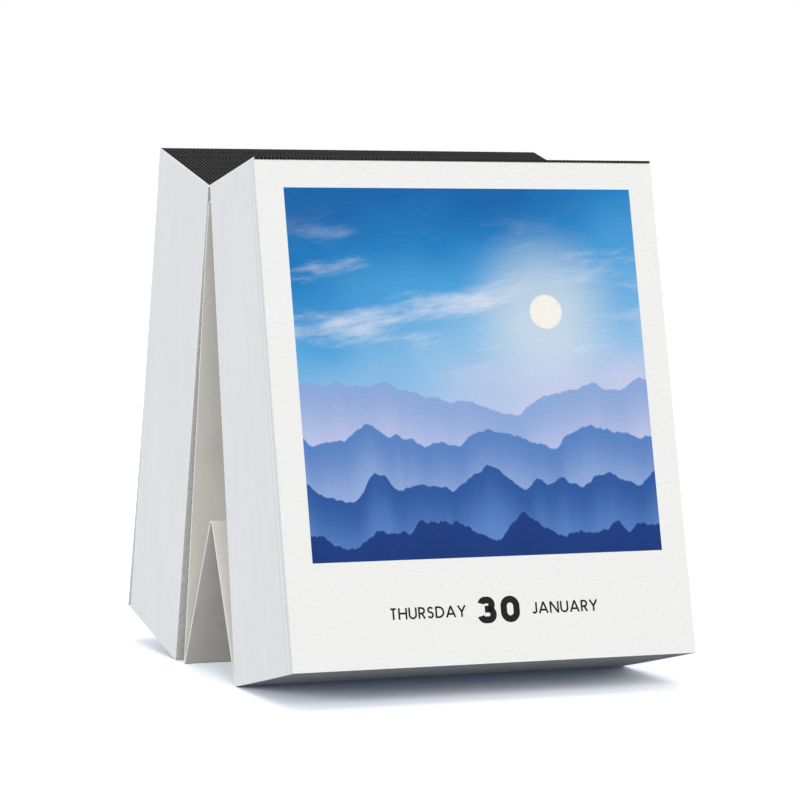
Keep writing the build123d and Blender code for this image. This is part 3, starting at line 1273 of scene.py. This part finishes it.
@dataclass
class Spine:
    """Book cloth over the tops of both pads, sunk to the valley between them."""

    valley: Vector
    columns: int = 12
    run_steps: int = 10
    fold_steps: int = 8
    bevel: float = 0.08 * MM

    def build(self, nodes: Nodes, cloth: Material, glue: Material) -> None:
        """Make the cloth and dress it and the glue films under it.

        Args:
            nodes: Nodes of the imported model.
            cloth: Finish of the cloth.
            glue: Finish of the glue.
        """
        front, rear = (section(nodes[f"{side}_spine_cloth"]) for side in ("front", "rear"))
        width = max(vertex.co.x for vertex in nodes["front_spine_cloth"].data.vertices) * 2
        outer_front, outer_rear = (self.on_middle(corners[-1]) for corners in (front, rear))
        inner_front = self.on_middle(max(front, key=lambda corner: corner.y))
        slope = inner_front - outer_front
        fall = math.atan2(-slope.z, slope.y)
        thickness = min((front[0] - corner).length for corner in front[1:])
        radius = (self.valley.y - inner_front.y) / math.sin(fall)
        centre = inner_front + Vector((0.0, math.sin(fall), math.cos(fall))) * radius
        strip = FoldedStrip(outer_front, width, self.columns)
        strip.run(inner_front, self.run_steps)
        strip.fold(centre, 2 * fall, self.fold_steps)
        strip.run(outer_rear, self.run_steps)
        piece = new_piece("spine_cloth_strip", strip.done(), cloth, cloth)
        thicken(piece, thickness, -1.0, self.bevel)
        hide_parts("front_spine_cloth", "rear_spine_cloth")
        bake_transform(piece)
        for side in ("front", "rear"):
            dress(nodes[f"{side}_binding_glue"], glue)

    def on_middle(self, corner: Vector) -> Vector:
        """Point of a section, moved to the middle of the width."""
        return Vector((0.0, corner.y, corner.z))


@dataclass
class CardStand:
    """Folded card between the boards: two legs, two foot folds, and a strut with a peak."""

    valley: Vector
    peak: Vector
    peak_rise: float = 1.5 * MM
    peak_bend: float = 0.7 * MM
    foot_steps: int = 8
    apex_steps: int = 12
    peak_steps: int = 10
    run_steps: int = 6
    foot_room: float = 0.12 * MM
    bevel: float = 0.05 * MM

    def build(self, nodes: Nodes, card: Material, edge: Material) -> None:
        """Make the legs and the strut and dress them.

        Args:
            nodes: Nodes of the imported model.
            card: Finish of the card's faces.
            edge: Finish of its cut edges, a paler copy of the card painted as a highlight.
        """
        front, rear = (section(nodes[f"stand_{side}_leg"]) for side in ("front", "rear"))
        width = max(vertex.co.x for vertex in nodes["stand_front_leg"].data.vertices) * 2
        thickness = (front[1] - front[0]).length
        feet = [Vector((0.0, corners[0].y, corners[0].z)) for corners in (front, rear)]
        strut, bend_start = self.strut(feet[0], width, thickness)
        strut_up = (bend_start - feet[0]).normalized()
        legs = self.legs(self.middles(front), self.middles(rear), feet, strut_up, width, thickness)
        leg_top = self.middles(front)[-1]
        self.dress("stand_card_legs", legs, thickness, (card, edge))
        self.dress("stand_card_strut", strut, thickness, (card, edge))
        pieces = bpy.data.objects
        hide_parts("stand_front_leg", "stand_rear_leg")
        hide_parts("strut_front_panel", "strut_rear_panel")
        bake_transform(pieces["stand_card_legs"])
        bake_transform(pieces["stand_card_strut"])

    def dress(self, name: str, strip: FoldedStrip, thickness: float, finishes: tuple) -> None:
        """Make a piece of a strip, with its thickness and its finishes.

        Args:
            name: Name of the piece.
            strip: The strip.
            thickness: Thickness of the card.
            finishes: Finish of the faces and of the cut edges.
        """
        piece = new_piece(name, strip.done(), *finishes)
        thicken(piece, thickness, 0.0, self.bevel)
        LOG.info("%s: %.1f mm of card", piece.name, strip.length / MM)

    def middles(self, corners: list[Vector]) -> list[Vector]:
        """Middles of the card's thickness and width at each bend of a leg, from its foot up."""
        pairs = zip(corners[::2], corners[1::2])
        return [Vector((0.0, (one.y + other.y) / 2, (one.z + other.z) / 2)) for one, other in pairs]

    def mirrored(self, point: Vector, plane: float) -> Vector:
        """Point on the other side of a plane square to Y."""
        return Vector((point.x, 2 * plane - point.y, point.z))

    def beside(self, up: Vector, way: int) -> Vector:
        """Direction square to a panel: to the rear of it if the way is 1, to the front if it is -1."""
        return Vector((0.0, up.z, -up.y)) * way

    def legs(self, front: list[Vector], rear: list[Vector], feet: list[Vector], strut_up: Vector,
             width: float, thickness: float) -> FoldedStrip:
        """Strip from the front foot fold over the apex to the rear foot fold.

        Args:
            front: Middles of the front leg, from its foot up.
            rear: Middles of the rear leg, from its foot up.
            feet: Foot folds of the front and rear legs.
            strut_up: Direction up the front strut panel.
            width: Width of the card.
            thickness: Thickness of the card.

        Returns:
            The strip.
        """
        front_up, rear_up = (front[1] - front[0]).normalized(), (rear[1] - rear[0]).normalized()
        lean = math.atan2(front_up.y, front_up.z)
        top = front[-1]
        apex = Vector((0.0, self.valley.y, top.z - (self.valley.y - top.y) * math.tan(lean)))
        strip = FoldedStrip(feet[0] + self.beside(strut_up, 1) * thickness / 2, width)
        strip.fold(feet[0], strut_up.angle(front_up) - math.pi, self.foot_steps)
        strip.run(top, self.run_steps)
        strip.fold(apex, 2 * lean - math.pi, self.apex_steps)
        for bend in rear[-2:0:-1]:
            strip.run(bend)
        strip.run(feet[1] + self.beside(rear_up, 1) * thickness / 2, self.run_steps)
        rear_strut_up = Vector((0.0, -strut_up.y, strut_up.z))
        strip.fold(feet[1], rear_strut_up.angle(rear_up) - math.pi, self.foot_steps)
        return strip

    def strut(self, foot: Vector, width: float, thickness: float) -> tuple[FoldedStrip, Vector]:
        """Strip from the front foot over the peak to the rear foot.

        Args:
            foot: Foot fold of the front leg.
            width: Width of the card.
            thickness: Thickness of the card.

        Returns:
            The strip, and the point where the peak's bend starts.
        """
        crossing = Vector((0.0, self.peak.y, self.peak.z + self.peak_rise))
        rough_up = (crossing - foot).normalized()
        start = foot + self.beside(rough_up, 1) * thickness / 2 + rough_up * self.foot_room
        up = (crossing - start).normalized()
        lean = math.atan2(up.y, up.z)
        bend_start = crossing - up * self.peak_bend / math.tan(lean)
        strip = FoldedStrip(start, width)
        strip.run(bend_start, self.run_steps)
        strip.fold(bend_start + self.beside(up, 1) * self.peak_bend, 2 * lean - math.pi, self.peak_steps)
        strip.run(self.mirrored(start, self.peak.y), self.run_steps)
        return strip, bend_start


def dress(node: Piece, material: Material) -> None:
    """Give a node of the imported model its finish.

    Args:
        node: The node.
        material: The finish.
    """
    node.data.materials.clear()
    node.data.materials.append(material)
    LOG.info("%s: dressed in %s", node.name, material.name)


@dataclass(frozen=True)
class Lamp:
    """Soft lamp of even strength.

    Its level is the brightness of a white surface that faces it, its spread is its width as an angle in
    degrees, and it comes from a tilt from straight above and a turn from the front towards the left.
    """

    name: str
    level: float
    spread: float
    tilt: float
    turn: float
    colour: Triple = (1.0, 0.985, 0.96)

    def build(self) -> None:
        """Make the lamp."""
        light = bpy.data.lights.new(self.name, "SUN")
        light.energy = self.level * math.pi
        light.angle = math.radians(self.spread)
        light.color = self.colour
        piece = bpy.data.objects.new(self.name, light)
        turned = Matrix.Rotation(math.radians(-self.turn), 4, "Z")
        piece.matrix_world = turned @ Matrix.Rotation(math.radians(self.tilt), 4, "X")
        bpy.context.scene.collection.objects.link(piece)


@dataclass
class Studio:
    """White floor, soft light from all round, strongest from the left, and the photograph's camera."""

    floor_half: float = 6.0
    floor_drop: float = 0.02 * MM
    floor_seen: Colour = (1.42, 1.46, 1.52, 1.0)
    floor_bounce: Colour = (0.15, 0.16, 0.18, 1.0)
    floor_glow: Colour = (0.0, 0.008, 0.03, 1.0)
    fill_colour: Colour = (0.86, 0.94, 1.05, 1.0)
    fill_strength: float = 0.46
    lamps: tuple[Lamp, ...] = (
        Lamp("key_light", 0.07, 12.0, 3.0, 60.0),
        Lamp("front_light", 0.3, 40.0, 62.0, 0.0, (1.05, 1.01, 0.95)),
        Lamp("left_light", 0.57, 26.0, 74.0, 62.0, (1.03, 1.01, 0.97)),
        Lamp("rear_light", 0.32, 40.0, 75.0, 180.0, (1.12, 1.03, 0.88)),
        Lamp("right_light", 0.28, 40.0, 75.0, 270.0, (1.12, 1.03, 0.88)),
    )
    camera_place: Triple = (-289.48 * MM, -677.991 * MM, 114.588 * MM)
    camera_yaw: float = 23.033
    camera_pitch: float = 4.436
    camera_roll: float = 0.786
    camera_lens: float = 154.26
    camera_sensor: float = 36.0
    camera_near: float = 0.01

    def build(self) -> None:
        """Make the floor, the light and the camera."""
        self.floor()
        self.world()
        for lamp in self.lamps:
            lamp.build()
        self.camera()

    def seen_rays(self, tree: bpy.types.NodeTree) -> Socket:
        """Share that is 1 for rays which show the surroundings.

        Args:
            tree: Node tree to work in.

        Returns:
            Output socket.
        """
        path = tree.nodes.new("ShaderNodeLightPath")
        share = path.outputs["Is Camera Ray"]
        for kind in ("Is Glossy Ray", "Is Transmission Ray"):
            most = tree.nodes.new("ShaderNodeMath")
            most.operation = "MAXIMUM"
            tree.links.new(share, most.inputs[0])
            tree.links.new(path.outputs[kind], most.inputs[1])
            share = most.outputs[0]
        return share

    def floor(self) -> None:
        """Make the floor, lighter than white to look at, so shadows stay short, but dim in its bounce."""
        bm = bmesh.new()
        place = Matrix.Translation((0.0, 0.0, -self.floor_drop))
        bmesh.ops.create_grid(bm, x_segments=1, y_segments=1, size=self.floor_half, matrix=place)
        material = bpy.data.materials.new("white_floor")
        material.use_nodes = True
        tree = material.node_tree
        mix = tree.nodes.new("ShaderNodeMixShader")
        tree.links.new(self.seen_rays(tree), mix.inputs[0])
        bounce = tree.nodes.new("ShaderNodeBsdfDiffuse")
        bounce.inputs["Color"].default_value = self.floor_bounce
        tree.links.new(bounce.outputs[0], mix.inputs[1])
        tree.nodes.remove(tree.nodes["Principled BSDF"])
        seen = tree.nodes.new("ShaderNodeAddShader")
        lit = tree.nodes.new("ShaderNodeBsdfDiffuse")
        lit.inputs["Color"].default_value = self.floor_seen
        glow = tree.nodes.new("ShaderNodeEmission")
        glow.inputs["Color"].default_value = self.floor_glow
        for number, shader in enumerate((lit, glow)):
            tree.links.new(shader.outputs[0], seen.inputs[number])
        tree.links.new(seen.outputs[0], mix.inputs[2])
        tree.links.new(mix.outputs[0], tree.nodes["Material Output"].inputs["Surface"])
        new_piece("floor", bm, material)

    def world(self) -> None:
        """Make the even fill light, which shows as white."""
        world = bpy.data.worlds.new("studio")
        world.use_nodes = True
        bpy.context.scene.world = world
        tree = world.node_tree
        fill = tree.nodes["Background"]
        fill.inputs["Color"].default_value = self.fill_colour
        fill.inputs["Strength"].default_value = self.fill_strength
        white = tree.nodes.new("ShaderNodeBackground")
        white.inputs["Color"].default_value = (1.0, 1.0, 1.0, 1.0)
        white.inputs["Strength"].default_value = 1.0
        mix = tree.nodes.new("ShaderNodeMixShader")
        tree.links.new(self.seen_rays(tree), mix.inputs[0])
        tree.links.new(fill.outputs[0], mix.inputs[1])
        tree.links.new(white.outputs[0], mix.inputs[2])
        tree.links.new(mix.outputs[0], tree.nodes["World Output"].inputs["Surface"])

    def camera(self) -> None:
        """Make the camera at the photograph's viewing angle."""
        data = bpy.data.cameras.new("photo_camera")
        data.lens = self.camera_lens
        data.sensor_width = self.camera_sensor
        data.clip_start = self.camera_near
        camera = bpy.data.objects.new("photo_camera", data)
        yaw = Matrix.Rotation(math.radians(-self.camera_yaw), 4, "Z")
        pitch = Matrix.Rotation(math.radians(90 - self.camera_pitch), 4, "X")
        roll = Matrix.Rotation(math.radians(self.camera_roll), 4, "Z")
        camera.matrix_world = Matrix.Translation(self.camera_place) @ yaw @ pitch @ roll
        bpy.context.scene.collection.objects.link(camera)
        bpy.context.scene.camera = camera


def main() -> None:
    """Build the calendar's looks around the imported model."""
    logging.basicConfig(level=logging.INFO, format="%(message)s")
    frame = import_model()
    bpy.context.scene.view_settings.view_transform = "Standard"
    nodes = frame["nodes"]
    folds = {joint["name"]: Vector(joint["pos_m"]) for joint in frame["joints"]}

    paper = FeltPaper().material()
    edges = CutPaper().material()
    cloth = BookCloth().material()
    board = GreyBoard().material()
    card = FoldingCard().material()
    # The cut edges get a paler copy of the card: a painted highlight for the light on the thin edges.
    card_edge_painted_highlight = FoldingCard("card_edge_painted_highlight", tone(251, 250, 245), tone(245, 243, 237)).material()
    glue = DriedGlue().material()
    tape = DriedGlue("tissue_tape", tone(236, 231, 214), tone(222, 215, 195), 0.5).material()
    ink = DateInk().material()

    front_months = ("june", "may", "april", "march", "february")
    rear_months = ("december", "november", "october", "september", "august", "july")
    # On the front pad, sheets 3, 4 and 14 from the outside get painted gap shade.
    DayPad(Side.FRONT, "front_pad", front_months, 11, (3, 4, 14)).build(nodes, edges, paper)
    DayPad(Side.REAR, "rear_pad", rear_months, 23).build(nodes, edges, paper)
    today, tomorrow, third_day = ("THURSDAY", "30", "JANUARY"), ("FRIDAY", "31", "JANUARY"), ("", "1", "")
    first_july, second_july = ("TUESDAY", "1", "JULY"), ("WEDNESDAY", "2", "JULY")
    for sheet in (
        DayPrint("february_sheets", "front_pad", Side.FRONT, View.GOLD_HILLS, third_day),
        PrintedLeaf("tomorrow_sheet", "tomorrow_leaf", Side.FRONT, View.DUSK_HILLS, tomorrow),
        PrintedLeaf("today_sheet", "today_leaf", Side.FRONT, View.BLUE_HILLS, today),
        DayPrint("july_sheets", "rear_pad", Side.REAR, View.TEAL_HILLS, second_july),
        PrintedLeaf("first_july_sheet", "rear_leaf", Side.REAR, View.GREEN_HILLS, first_july, flare=1.5 * MM),
    ):
        sheet.build(nodes, paper, ink)
    for side in ("front", "rear"):
        dress(nodes[f"{side}_backing_board"], board)
        dress(nodes[f"{side}_leg_tape"], tape)
    Spine(folds["stand_fold"]).build(nodes, cloth, glue)
    CardStand(folds["stand_fold"], folds["strut_rear_fold"]).build(nodes, card, card_edge_painted_highlight)
    Studio().build()


if __name__ == "__main__":
    main()
